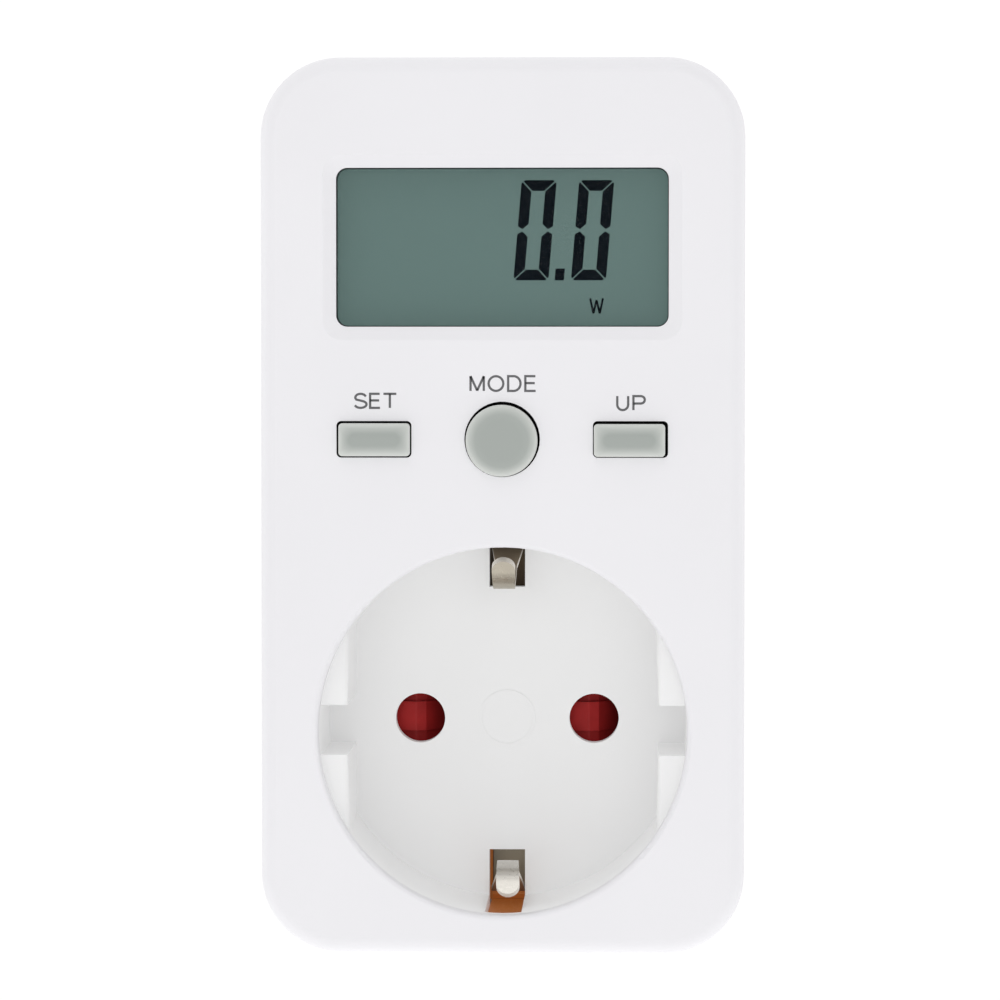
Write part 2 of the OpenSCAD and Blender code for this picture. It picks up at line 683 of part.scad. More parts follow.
module varistor() color("steelblue") {
    translate([-4, 0, 44]) span_x(-2, 2) translate([power_y - 6.6, 0]) circle(4.8);
    for (s = [-1, 1]) rod_y(-4 + s * 0.9, 44 + s * 2.2, 0.35, power_y - 3, power_y - 0.01);
}

module fuse() color("gainsboro") {
    translate([6, power_y - 4.2, 46]) rotate([0, 90, 0]) cylinder(r = 2.3, h = 14);
    for (x = [4, 19]) {
        translate([x, power_y - 4.2, 46]) rotate([0, 90, 0]) cylinder(r = 2.6, h = 3);
        block([x + 0.4, x + 2.6], [power_y - 2.6, power_y - 0.01], [45, 47]);
    }
}

module current_shunt() color("peru") {
    block([-17, -15.6], [power_y - 6, power_y - 0.01], [33, 36]);
    block([-17, -5], [power_y - 7.4, power_y - 6], [33, 36]);
    block([-6.4, -5], [power_y - 6, power_y - 0.01], [33, 36]);
}

module rectifier_diodes() color("black") for (i = [0:3]) {
    translate([4 + i * 4, power_y - 1.5, 36]) cylinder(r = 1.2, h = 4.4);
    for (z = [35, 40.4]) translate([4 + i * 4, power_y - 1.5, z]) cylinder(r = 0.35, h = 1.1);
}

// Pin header between the two boards
module board_link() color("black") {
    block([-6.5, 6.5], [board_y + board_t + 0.01, board_y + board_t + 2.5], [61.6, 64.2]);
    for (i = [-2:2]) block([i * 2.54 - 0.32, i * 2.54 + 0.32],
        [board_y + board_t + 2, power_y - 0.01], [62.6, 63.24]);
}

module line_wire() color("saddlebrown") {
    tube(smooth_route(line_feed_route, 4), wire_r);
    tube(smooth_route(line_return_route, 4), wire_r);
}
module neutral_wire() color("royalblue") {
    tube(smooth_route(neutral_route, 4), wire_r);
    tube(smooth_route(neutral_return_route, 4), wire_r);
}
module earth_wire() color("yellowgreen") tube(smooth_route(earth_route, 4), 0.8);

// ---- fasteners ----

module cross_screw(x, z, head_y, head_r, head_h, shank_r, tip_y) difference() {
    union() {
        rod_y(x, z, head_r, head_y - head_h, head_y);
        rod_y(x, z, shank_r, tip_y, head_y - head_h + 0.1);
    }
    block([x - head_r * 0.62, x + head_r * 0.62], [head_y - 1, head_y + 1], [z - 0.35, z + 0.35]);
    block([x - 0.35, x + 0.35], [head_y - 1, head_y + 1], [z - head_r * 0.62, z + head_r * 0.62]);
}

module housing_screws() color("silver") for (p = housing_screw_spots) {
    cross_screw(p[0], p[1], -19.4, 2.4, 2, 1.25, -34);
}

module pcb_screws() color("silver") for (p = pcb_screw_spots) {
    cross_screw(p[0], p[1], board_y + board_t + 1.5, 1.6, 1.4, 0.85, board_y - 4.5);
}

module carrier_screws() color("silver") for (s = [-1, 1]) {
    cross_screw(s * carrier_screw_x, s * carrier_screw_z, -25.2, 1.9, 1.7, 0.9, floor_back_y - 0.4);
}

front_shell();
rear_shell();
socket_insert();
contact_carrier();
shutter();
shutter_spring();
line_contact();
neutral_contact();
line_pin();
neutral_pin();
earth_strap();
earth_spring_feet();
upper_earth_spring();
lower_earth_spring();
earth_rivets();
plug_earth_bracket();
lcd_window();
lcd_panel();
lcd_frame();
upper_zebra_strip();
lower_zebra_strip();
display_pcb();
metering_chip();
clock_crystal();
set_button();
mode_button();
up_button();
set_switch();
mode_switch();
up_switch();
set_plunger();
mode_plunger();
up_plunger();
power_pcb();
film_capacitor();
electrolytic_capacitor();
varistor();
fuse();
current_shunt();
rectifier_diodes();
backup_cell();
board_link();
line_wire();
neutral_wire();
earth_wire();
housing_screws();
pcb_screws();
carrier_screws();
rating_plate();
plug_insert();
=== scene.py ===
"""Looks, light and camera for the plug-in power meter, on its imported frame."""
import math

import bpy
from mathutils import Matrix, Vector


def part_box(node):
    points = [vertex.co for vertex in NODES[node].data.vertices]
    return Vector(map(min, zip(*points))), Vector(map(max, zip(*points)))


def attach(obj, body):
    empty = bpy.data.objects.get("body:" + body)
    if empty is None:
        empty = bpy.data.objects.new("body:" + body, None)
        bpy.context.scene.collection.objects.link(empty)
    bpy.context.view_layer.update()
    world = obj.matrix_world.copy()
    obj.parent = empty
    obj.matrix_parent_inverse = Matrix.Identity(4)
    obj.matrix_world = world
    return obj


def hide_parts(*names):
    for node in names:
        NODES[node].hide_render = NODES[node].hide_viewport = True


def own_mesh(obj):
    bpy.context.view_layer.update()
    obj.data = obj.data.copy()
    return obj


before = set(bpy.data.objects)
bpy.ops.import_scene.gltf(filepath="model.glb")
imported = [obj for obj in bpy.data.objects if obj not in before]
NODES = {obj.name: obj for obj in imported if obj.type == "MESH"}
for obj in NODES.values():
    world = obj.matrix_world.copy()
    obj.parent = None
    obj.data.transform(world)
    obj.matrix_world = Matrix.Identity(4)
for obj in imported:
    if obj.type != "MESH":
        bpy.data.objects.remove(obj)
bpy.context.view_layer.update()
MM = 0.001

SHELL_LOW, SHELL_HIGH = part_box("front_shell")
FACE_Y = SHELL_LOW.y
FACE = FACE_Y / MM
CENTRE_Z = (SHELL_LOW.z + SHELL_HIGH.z) / 2
PANE_LOW, PANE_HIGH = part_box("lcd_window")
LCD_LOW, LCD_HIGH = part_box("lcd_panel")
LCD_Z = (LCD_LOW.z + LCD_HIGH.z) / 2
FEET_LOW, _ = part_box("earth_spring_feet")

# Strap copper: its own colour, a darker copy painted as shade for the upper half, and a painted glow
# for the lower half
BRIGHT_COPPER = (0.36, 0.122, 0.030)
PAINTED_COPPER_GLOW = (0.13, 0.040, 0.009)
SHADED_COPPER = (0.115, 0.085, 0.058)


# ---- materials ----

def new_material(name):
    """A material, its tree and Principled shader, and a function that adds a node to it."""
    mat = bpy.data.materials.new(name)
    mat.use_nodes = True
    tree = mat.node_tree
    shader = tree.nodes["Principled BSDF"]

    def add(kind, **values):
        node = tree.nodes.new(kind)
        for key, value in values.items():
            if hasattr(node, key):
                setattr(node, key, value)
            else:
                node.inputs[key.replace("_", " ")].default_value = value
        return node

    return mat, tree, shader, add


def noise(tree, add, scale, detail=3.0, stretch=(1, 1, 1)):
    """Noise in object space, with features about 1/scale metres wide."""
    coords = add("ShaderNodeTexCoord")
    mapping = add("ShaderNodeMapping")
    mapping.inputs["Scale"].default_value = stretch
    texture = add("ShaderNodeTexNoise", Scale=scale, Detail=detail)
    tree.links.new(coords.outputs["Object"], mapping.inputs["Vector"])
    tree.links.new(mapping.outputs["Vector"], texture.inputs["Vector"])
    return texture.outputs["Fac"]


def ramp(tree, add, source, low, high, start=0.35, end=0.65):
    """A smooth step of source from one colour or grey to another."""
    node = add("ShaderNodeValToRGB")
    for stop, place, colour in zip(node.color_ramp.elements, (start, end), (low, high)):
        stop.position = place
        stop.color = (*colour, 1) if isinstance(colour, tuple) else (colour, colour, colour, 1)
    tree.links.new(source, node.inputs["Fac"])
    return node.outputs["Color"]


def shade(colour, factor):
    """A colour made lighter or darker by a factor."""
    return tuple(min(1.0, c * factor) for c in colour)


def finish_of(name, colour, roughness, variation=0.03, patch=60, grain=6000, grain_height=0.004,
              metallic=0.0, stretch=(1, 1, 1), rough_spread=0.05, gloss=0.5):
    """A surface with soft patches of colour, uneven gloss and a fine moulded or drawn grain."""
    mat, tree, shader, add = new_material(name)
    shader.inputs["Metallic"].default_value = metallic
    shader.inputs["Specular IOR Level"].default_value = gloss
    patches = noise(tree, add, patch, 2.0)
    tree.links.new(ramp(tree, add, patches, shade(colour, 1 - variation), shade(colour, 1 + variation)),
                   shader.inputs["Base Color"])
    fine = noise(tree, add, grain, 3.0, stretch)
    tree.links.new(ramp(tree, add, fine, roughness - rough_spread, roughness + rough_spread),
                   shader.inputs["Roughness"])
    bump = add("ShaderNodeBump", Strength=0.35, Distance=grain_height * MM)
    tree.links.new(fine, bump.inputs["Height"])
    tree.links.new(bump.outputs["Normal"], shader.inputs["Normal"])
    return mat


def metal_of(name, colour, roughness, variation=0.05, stretch=(1, 0.1, 1), metallic=1.0):
    """A metal with a fine grain that runs along its long way."""
    return finish_of(name, colour, roughness, variation, 300, 5000, 0.0002, metallic, stretch, 0.03)


SHELL = finish_of("shell_satin", (0.815, 0.808, 0.832), 0.42, variation=0.006, grain=5000)
CARRIER = finish_of("carrier_grey", (0.10, 0.10, 0.11), 0.5)
SHUTTER = finish_of("shutter_red", (0.33, 0.017, 0.017), 0.40, variation=0.10, patch=350, gloss=0.12)
BLACK = finish_of("black_plastic", (0.025, 0.025, 0.027), 0.45)
BROWN = finish_of("brown_plastic", (0.18, 0.08, 0.04), 0.45)
BRASS = metal_of("contact_brass", (0.70, 0.50, 0.22), 0.28)
NICKEL = metal_of("nickel", (0.72, 0.69, 0.62), 0.22)
SPRING = metal_of("spring_nickel", (0.59, 0.565, 0.52), 0.30, 0.03)
# Painted shade: a darker copy of the spring nickel for the upper leaf, which faces down
SHADED_SPRING = metal_of("upper_leaf_painted_shade", (0.46, 0.42, 0.345), 0.30, 0.03)
# Painted shade: the back of the earth leaves in a dark brown
LEAF_BACK_SHADE = metal_of("leaf_back_painted_shade", (0.36, 0.29, 0.21), 0.5, 0.08, metallic=0.1)
# Painted light: a pale colour on the leaves' cut edges in place of the light they catch
CUT_EDGE_LIGHT = metal_of("cut_edge_painted_light", (0.86, 0.81, 0.73), 0.5, 0.05, metallic=0.05)
# Painted shade: the spring feet and rivets in a darkened nickel
SHADED_FOOT_NICKEL = metal_of("foot_nickel_painted_shade", (0.28, 0.245, 0.19), 0.36, 0.08)
# Painted shade: the upper spring foot in the darker copper tone
FOOT_UPPER_SHADE = metal_of("foot_upper_painted_shade", SHADED_COPPER, 0.45, 0.12)
HOLDER = finish_of("holder_white", (0.72, 0.72, 0.70), 0.5)
ZEBRA = finish_of("zebra_rubber", (0.6, 0.4, 0.4), 0.7)
BOARD = finish_of("board_green", (0.03, 0.15, 0.07), 0.35, 0.08)
FILM = finish_of("film_yellow", (0.66, 0.45, 0.05), 0.35)
SLEEVE = finish_of("sleeve_blue", (0.03, 0.05, 0.18), 0.3)
VARISTOR = finish_of("varistor_blue", (0.05, 0.17, 0.40), 0.3)
CERAMIC = finish_of("fuse_ceramic", (0.74, 0.72, 0.68), 0.4)
SHUNT = metal_of("shunt_metal", (0.45, 0.27, 0.16), 0.35, 0.08)
CELL = metal_of("cell_steel", (0.65, 0.65, 0.64), 0.2)
SCREW = metal_of("screw_zinc", (0.58, 0.58, 0.57), 0.32)
VINYL_BROWN = finish_of("vinyl_brown", (0.16, 0.06, 0.03), 0.5)
VINYL_BLUE = finish_of("vinyl_blue", (0.02, 0.10, 0.42), 0.5)
VINYL_GREEN = finish_of("vinyl_green", (0.20, 0.40, 0.04), 0.5)
PLATE = metal_of("plate_foil", (0.62, 0.62, 0.63), 0.38, 0.03, (0.05, 1, 1))
SEGMENT = finish_of("lcd_segment", (0.004, 0.006, 0.009), 0.7, gloss=0.0)
PRINT = finish_of("label_ink", (0.13, 0.13, 0.135), 0.6, gloss=0.2)
# Painted shade: near black on the button caps behind the face and on the button holes' walls, so the
# gaps round the caps read dark
GAP_SHADE = finish_of("gap_painted_shade", (0.012, 0.012, 0.012), 0.7, gloss=0.1)
# Painted shade: near black on the display window's sides, for the dark gap round the pane
PANE_EDGE_SHADE = finish_of("pane_edge_painted_shade", (0.006, 0.016, 0.014), 0.3)


def painted_glow(mat, colour, strength):
    """Adds painted light: an even glow all over the material, though it is no lamp."""
    shader = mat.node_tree.nodes["Principled BSDF"]
    shader.inputs["Emission Color"].default_value = (*colour, 1)
    shader.inputs["Emission Strength"].default_value = strength
    return mat


def clear_window():
    """Clear plastic with a slight haze."""
    mat, tree, shader, add = new_material("window_clear")
    shader.inputs["Base Color"].default_value = (0.02, 0.03, 0.03, 1)
    shader.inputs["Alpha"].default_value = 0.03
    haze = noise(tree, add, 300)
    tree.links.new(ramp(tree, add, haze, 0.04, 0.09), shader.inputs["Roughness"])
    return mat


def cap_silicone():
    """Grey silicone painted paler towards its rim, as painted light on its rounded edges."""
    mat, tree, shader, add = new_material("cap_grey")
    # Painted light: the rim value that make_cap stores pales the cap towards its edges
    rim = add("ShaderNodeAttribute", attribute_name="rim")
    tone = ramp(tree, add, rim.outputs["Fac"], (0.345, 0.372, 0.350), (0.64, 0.66, 0.63), 0.0, 1.0)
    tree.links.new(tone, shader.inputs["Base Color"])
    fine = noise(tree, add, 5000)
    tree.links.new(ramp(tree, add, fine, 0.34, 0.42), shader.inputs["Roughness"])
    bump = add("ShaderNodeBump", Strength=0.3, Distance=0.003 * MM)
    tree.links.new(fine, bump.inputs["Height"])
    tree.links.new(bump.outputs["Normal"], shader.inputs["Normal"])
    return mat


def strap_metal():
    """Copper painted darker on the upper half of the socket as painted shade, with a painted glow on
    its lower half.
    """
    mat = metal_of("strap_copper", BRIGHT_COPPER, 0.46, metallic=0.3)
    tree = mat.node_tree
    shader = tree.nodes["Principled BSDF"]
    coords = tree.nodes.new("ShaderNodeTexCoord")
    split = tree.nodes.new("ShaderNodeSeparateXYZ")
    upper = tree.nodes.new("ShaderNodeMapRange")
    half_blend = 2 * MM
    upper.inputs["From Min"].default_value = -half_blend
    upper.inputs["From Max"].default_value = half_blend
    tree.links.new(coords.outputs["Object"], split.inputs["Vector"])
    tree.links.new(split.outputs["Z"], upper.inputs["Value"])

    def by_height(low, high, target):
        mix = tree.nodes.new("ShaderNodeMix")
        mix.data_type = "RGBA"
        mix.inputs["A"].default_value = (*low, 1)
        mix.inputs["B"].default_value = (*high, 1)
        tree.links.new(upper.outputs["Result"], mix.inputs["Factor"])
        tree.links.new(mix.outputs["Result"], shader.inputs[target])

    # Painted shade: darker copper above the middle; painted light: a glow below it
    by_height(BRIGHT_COPPER, SHADED_COPPER, "Base Color")
    by_height(PAINTED_COPPER_GLOW, (0.0, 0.0, 0.0), "Emission Color")
    shader.inputs["Emission Strength"].default_value = 1.0
    return mat


WINDOW = clear_window()
COPPER = strap_metal()
# Painted light: the display glows in its own colour so that it reads evenly bright inside its recess
LCD = painted_glow(finish_of("lcd_reflector", (0.056, 0.088, 0.082), 0.5, 0.012, 90, gloss=0.1),
           (0.056, 0.088, 0.082), 1.35)
# Painted light: a weak white glow that lifts the shade inside the socket's recess
INSERT = painted_glow(finish_of("insert_satin", (0.72, 0.72, 0.72), 0.45, 0.008, grain=5000),
              (1.0, 1.0, 1.0), 0.14)
CAP = cap_silicone()

NODE_MATERIALS = {
    "front_shell": SHELL, "rear_shell": SHELL, "socket_insert": INSERT, "plug_insert": INSERT,
    "contact_carrier": CARRIER, "shutter": SHUTTER, "shutter_spring": SPRING,
    "line_contact": BRASS, "neutral_contact": BRASS, "line_pin": NICKEL, "neutral_pin": NICKEL,
    "earth_strap": COPPER, "earth_spring_feet": SHADED_FOOT_NICKEL, "upper_earth_spring": SPRING,
    "lower_earth_spring": SPRING, "earth_rivets": SHADED_FOOT_NICKEL, "plug_earth_bracket": SPRING,
    "lcd_window": WINDOW, "lcd_panel": LCD, "lcd_frame": HOLDER, "upper_zebra_strip": ZEBRA,
    "lower_zebra_strip": ZEBRA, "display_pcb": BOARD, "metering_chip": BLACK,
    "clock_crystal": CELL, "set_button": CAP, "mode_button": CAP, "up_button": CAP,
    "set_switch": BLACK, "mode_switch": BLACK, "up_switch": BLACK, "set_plunger": BROWN,
    "mode_plunger": BROWN, "up_plunger": BROWN, "power_pcb": BOARD, "film_capacitor": FILM,
    "electrolytic_capacitor": SLEEVE, "varistor": VARISTOR, "fuse": CERAMIC,
    "current_shunt": SHUNT, "rectifier_diodes": BLACK, "backup_cell": CELL,
    "board_link": BLACK, "line_wire": VINYL_BROWN, "neutral_wire": VINYL_BLUE,
    "earth_wire": VINYL_GREEN, "housing_screws": SCREW, "pcb_screws": SCREW,
    "carrier_screws": SCREW, "rating_plate": PLATE,
}

# Radius of the softened edges on CAD nodes that show, in millimetres
EDGE_RADII = {
    "front_shell": 0.08, "rear_shell": 0.25, "socket_insert": 0.14, "plug_insert": 0.3,
    "shutter": 0.15, "earth_strap": 0.1, "earth_spring_feet": 0.1, "plug_earth_bracket": 0.12,
    "housing_screws": 0.08, "line_contact": 0.08, "neutral_contact": 0.08,
}


def soften(piece, radius):
    """Joins the triangles of flat faces, then rounds every sharp edge a little."""
    weld = piece.modifiers.new("weld", "WELD")
    weld.merge_threshold = 0.0005 * MM
    flat = piece.modifiers.new("flat", "DECIMATE")
    flat.decimate_type = "DISSOLVE"
    flat.angle_limit = math.radians(0.5)
    bevel = piece.modifiers.new("edges", "BEVEL")
    bevel.width = radius * MM
    bevel.segments = 3
    bevel.limit_method = "ANGLE"
    bevel.angle_limit = math.radians(35)
    bevel.harden_normals = True
    bevel.use_clamp_overlap = True


def round_guide_rims():
    """Gives the inner edges of the socket's two guide segments a broad round."""
    piece = NODES["socket_insert"]
    rims = piece.vertex_groups.new(name="rims")
    inner_x = 16.5 * MM
    deepest = FACE_Y + 3 * MM
    tolerance = 0.05 * MM
    chosen = [v.index for v in piece.data.vertices
              if v.co.y < deepest and abs(abs(v.co.x) - inner_x) < tolerance]
    rims.add(chosen, 1.0, "ADD")
    bevel = piece.modifiers.new("rim_rounds", "BEVEL")
    bevel.width = 0.9 * MM
    bevel.segments = 6
    bevel.limit_method = "VGROUP"
    bevel.vertex_group = "rims"
    bevel.harden_normals = True
    place_before_edges = 2
    piece.modifiers.move(len(piece.modifiers) - 1, place_before_edges)


def dress_cad_nodes():
    """Gives every CAD node its material, and soft edges where it shows."""
    for name, piece in NODES.items():
        piece.data.materials.clear()
        piece.data.materials.append(NODE_MATERIALS[name])
        if name in EDGE_RADII:
            soften(piece, EDGE_RADII[name])


def paint_faces(node, material, chosen):
    """Gives one more material to the faces of a CAD node that chosen(centre in mm) picks."""
    data = NODES[node].data
    data.materials.append(material)
    for face in data.polygons:
        if chosen(face.center / MM):
            face.material_index = len(data.materials) - 1


# Where paint_faces puts its second materials, in millimetres
BUTTON_BOXES = [[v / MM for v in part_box(n + "_button")] for n in ("set", "mode", "up")]
HOLE_WALL_START = FACE + 0.1
HOLE_WALL_END = FACE + 1.95
PANE_SIDE_START = PANE_LOW.y / MM + 0.05
PANE_SIDE_END = PANE_HIGH.y / MM - 0.05
LOWER_FOOT_TOP = FEET_LOW.z / MM + 1.08
LOWER_FOOT_FRONT_END = FEET_LOW.y / MM + 2.85


def in_button_hole(c):
    if not HOLE_WALL_START < c.y < HOLE_WALL_END:
        return False
    return any(low.x < c.x < high.x and low.z < c.z < high.z for low, high in BUTTON_BOXES)


def in_pane_side(c):
    return PANE_SIDE_START < c.y < PANE_SIDE_END


def on_lower_foot(c):
    return c.z < LOWER_FOOT_TOP and c.y < LOWER_FOOT_FRONT_END


def in_upper_half(c):
    return c.z > 0


# ---- meshes ----

def add_piece(name, verts, faces, material, body, smooth=True):
    """A mesh given in millimetres that rides on a CAD body."""
    mesh = bpy.data.meshes.new(name)
    mesh.from_pydata([Vector(v) * MM for v in verts], [], faces)
    mesh.validate()
    mesh.materials.append(material)
    if smooth:
        mesh.shade_smooth()
    piece = bpy.data.objects.new(name, mesh)
    bpy.context.scene.collection.objects.link(piece)
    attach(piece, body)
    return piece


def loft_faces(rings, sides, start, closed=True):
    """Quads between rings of sides points each, whose first point has number start."""
    last = sides if closed else sides - 1
    faces = []
    for i in range(rings - 1):
        for k in range(last):
            a = start + i * sides + k
            b = start + i * sides + (k + 1) % sides
            faces.append((a, b, b + sides, a + sides))
    return faces


def rounded_outline(w, h, r, steps):
    """Points round a rectangle of w by h with corner radius r, centred on zero."""
    points = []
    for i, (sx, sz) in enumerate(((1, 1), (-1, 1), (-1, -1), (1, -1))):
        for k in range(steps + 1):
            turn = math.radians(90 * (i + k / steps))
            x = sx * (w / 2 - r) + r * math.cos(turn)
            z = sz * (h / 2 - r) + r * math.sin(turn)
            points.append((x, z))
    return points


class Solid:
    """Collects closed lofts into one mesh, with a value for each point."""

    def __init__(self):
        self.verts = []
        self.faces = []
        self.values = []

    def loft(self, rings, values=None):
        start = len(self.verts)
        sides = len(rings[0])
        for i, ring in enumerate(rings):
            self.verts.extend(ring)
            self.values.extend([values[i] if values else 0.0] * sides)
        self.faces.extend(loft_faces(len(rings), sides, start))
        self.faces.append(tuple(range(start + sides - 1, start - 1, -1)))
        end = start + (len(rings) - 1) * sides
        self.faces.append(tuple(range(end, end + sides)))


def front_part_box(node):
    """Lowest and highest points of a CAD node's part in front of the face, in millimetres."""
    points = [v.co / MM for v in NODES[node].data.vertices if v.co.y < FACE_Y]
    low = Vector([min(p[i] for p in points) for i in range(3)])
    high = Vector([max(p[i] for p in points) for i in range(3)])
    return low, high


# Shape of a button cap, in millimetres
CAP_ROUND = 1.0
CAP_RISE = 0.62
CAP_CROWN = 0.06
CAP_CORNER_GROWTH = 0.5
CAP_MIDDLE = 0.1
# How the painted light on a cap fades from its rim towards its middle
CAP_PAINTED_LIGHT_FADE = 1.15
CAP_PAINTED_LIGHT_POWER = 1.4
CAP_ROUND_STEPS = 12
CAP_CROWN_STEPS = 4
FLANGE_DEPTH = 2.1
FLANGE_THICKNESS = 0.8
FLANGE_CORNER_GAIN = 0.4
STEM_WIDTH = 3
STEM_OVERLAP = 0.4


def make_cap(name, node, body, corner, steps, trim):
    """A push button cap: pillow-shaped front, retaining flange behind the face, and stem."""
    low, high = front_part_box(node)
    w = high.x - low.x - 2 * trim
    h = high.z - low.z - 2 * trim
    centre = ((low.x + high.x) / 2, (low.z + high.z) / 2)
    flange_y = FACE + FLANGE_DEPTH
    inner_low, inner_high = (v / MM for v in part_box(node))

    def ring(inset, y):
        largest = min(w, h) / 2 - inset - 0.01
        radius = min(corner + CAP_CORNER_GROWTH * inset, largest)
        return [(centre[0] + x, y, centre[1] + z)
                for x, z in rounded_outline(w - 2 * inset, h - 2 * inset, radius, steps)]

    solid = Solid()
    rings = [ring(0, flange_y), ring(0, FACE), ring(0, low.y + CAP_RISE)]
    rims = [1.0, 1.0, 1.0]
    for k in range(1, CAP_ROUND_STEPS + 1):
        turn = math.pi / 2 * k / CAP_ROUND_STEPS
        inset = CAP_ROUND * (1 - math.cos(turn))
        drop = (CAP_RISE - CAP_CROWN) * (1 - math.sin(turn))
        rings.append(ring(inset, low.y + CAP_CROWN + drop))
        rims.append((1 - inset / CAP_PAINTED_LIGHT_FADE) ** CAP_PAINTED_LIGHT_POWER)
    widest = min(w, h) / 2 - CAP_MIDDLE
    for k in range(1, CAP_CROWN_STEPS + 1):
        t = k / CAP_CROWN_STEPS
        inset = CAP_ROUND + (widest - CAP_ROUND) * t
        rings.append(ring(inset, low.y + CAP_CROWN * (1 - t) ** 2))
        rims.append(max(0.0, 1 - inset / CAP_PAINTED_LIGHT_FADE))
    solid.loft([r[::-1] for r in rings], rims)
    top_faces = len(solid.faces)
    middle_x = (inner_low.x + inner_high.x) / 2
    middle_z = (inner_low.z + inner_high.z) / 2
    flange = rounded_outline(inner_high.x - inner_low.x, inner_high.z - inner_low.z,
                             corner + FLANGE_CORNER_GAIN, steps)
    solid.loft([[(middle_x + x, y, middle_z + z) for x, z in flange]
                for y in (flange_y + FLANGE_THICKNESS, flange_y)])
    stem = rounded_outline(STEM_WIDTH, STEM_WIDTH, STEM_WIDTH / 2, 6)
    solid.loft([[(middle_x + x, y, middle_z + z) for x, z in stem]
                for y in (inner_high.y, flange_y + STEM_OVERLAP)])
    cap = add_piece(name, solid.verts, solid.faces, CAP, body)
    # Painted shade on the cap's sides behind the face, its flange and its stem
    cap.data.materials.append(GAP_SHADE)
    for face in cap.data.polygons:
        if face.index >= top_faces or face.center.y > FACE_Y:
            face.material_index = 1
    # Painted light: the rim value, 1 at the cap's edge, pales the cap there
    rim = cap.data.attributes.new("rim", "FLOAT", "POINT")
    rim.data.foreach_set("value", solid.values)
    cap.data.set_sharp_from_angle(angle=math.radians(50))
    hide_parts(node)


def chaikin(points, rounds):
    """Rounds the bends of a path by cutting its corners."""
    for _ in range(rounds):
        cut = [points[0]]
        for a, b in zip(points, points[1:]):
            cut.append(a.lerp(b, 0.25))
            cut.append(a.lerp(b, 0.75))
        points = cut + [points[-1]]
    return points


def resample(points, step):
    """Points about step apart along a path, with their distances from its start."""
    out = [(0.0, points[0])]
    travelled = 0.0
    due = step
    for a, b in zip(points, points[1:]):
        length = (b - a).length
        while due <= travelled + length:
            out.append((due, a.lerp(b, (due - travelled) / length)))
            due += step
        travelled += length
    out.append((travelled, points[-1]))
    return out


def interpolate(table, value):
    """The second column of a table at a value of its first, straight between rows."""
    for (a, low), (b, high) in zip(table, table[1:]):
        if value <= b:
            return low + (high - low) * max(0.0, (value - a) / (b - a))
    return table[-1][1]


# An earth spring's inner face: (depth behind the housing's face, distance from the socket's axis)
LEAF_PATH = [(5.2, 17.75), (6.7, 15.6), (8.3, 14.75), (9.2, 14.6), (10, 14.75), (16, 16.7),
             (21.75, 19.12)]
# Half of its width: (depth behind the housing's face, half width)
LEAF_HALF_WIDTHS = [(5.2, 1.25), (6.0, 1.25), (9.2, 1.14), (15.2, 1.15), (21.2, 1.85), (22, 1.85)]
LEAF_THICKNESS = 0.42
LEAF_TIP_THICKNESS = 0.80
LEAF_THINNING_START = 6.5
LEAF_THINNING_END = 7.5
LEAF_ROOT_DEPTH = 21.75
LEAF_ROW_STEP = 0.16
LEAF_FIRST_ROW = 0.02


def make_earth_leaf(name, node, body, side, lean, material):
    """A spring leaf bent from strip: thick rounded tip, contact ridge, and wings at its root."""
    path = chaikin([Vector(p) for p in LEAF_PATH], 2)
    tip_r = LEAF_HALF_WIDTHS[0][1]
    columns = 12
    verts = []
    rows = [(LEAF_FIRST_ROW, path[0])]
    rows += [(s, p) for s, p in resample(path, LEAF_ROW_STEP) if s > LEAF_FIRST_ROW]
    for s, (depth, radius) in rows:
        half = interpolate(LEAF_HALF_WIDTHS, depth)
        if s < tip_r:
            half *= math.sqrt(1 - (1 - s / tip_r) ** 2)
        sway = math.tan(math.radians(lean)) * (LEAF_ROOT_DEPTH - depth)
        for k in range(columns + 1):
            across = math.sin(math.pi / 2 * (2 * k / columns - 1))
            verts.append((sway + half * across, FACE + depth, side * radius))
    faces = loft_faces(len(rows), columns + 1, 0, closed=False)
    if side > 0:
        faces = [f[::-1] for f in faces]
    leaf = add_piece(name, verts, faces, material, body)
    # Painted shade on the leaf's back faces
    leaf.data.materials.append(LEAF_BACK_SHADE)
    # Painted light on the leaf's cut edge
    leaf.data.materials.append(CUT_EDGE_LIGHT)
    tip = leaf.vertex_groups.new(name="tip")
    for i, (_, y, _) in enumerate(verts):
        weight = (LEAF_THINNING_END - (y - FACE)) / (LEAF_THINNING_END - LEAF_THINNING_START)
        tip.add([i], max(0.0, min(1.0, weight)), "ADD")
    thick = leaf.modifiers.new("thickness", "SOLIDIFY")
    thick.thickness = LEAF_TIP_THICKNESS * MM
    thick.vertex_group = "tip"
    thick.thickness_vertex_group = LEAF_THICKNESS / LEAF_TIP_THICKNESS
    thick.offset = -1
    thick.material_offset = 1
    thick.material_offset_rim = 2
    rim = leaf.modifiers.new("rim", "BEVEL")
    rim.width = 0.15 * MM
    rim.segments = 4
    rim.limit_method = "ANGLE"
    rim.angle_limit = math.radians(50)
    rim.harden_normals = True
    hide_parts(node)


def tube_ring(centre, along, radius, sides):
    """Points of a circle round a path, square to its direction."""
    across = along.cross(Vector((1, 0, 0))).normalized()
    upright = along.cross(across).normalized()
    turns = [2 * math.pi * k / sides for k in range(sides)]
    return [centre + radius * (math.cos(a) * across + math.sin(a) * upright) for a in turns]


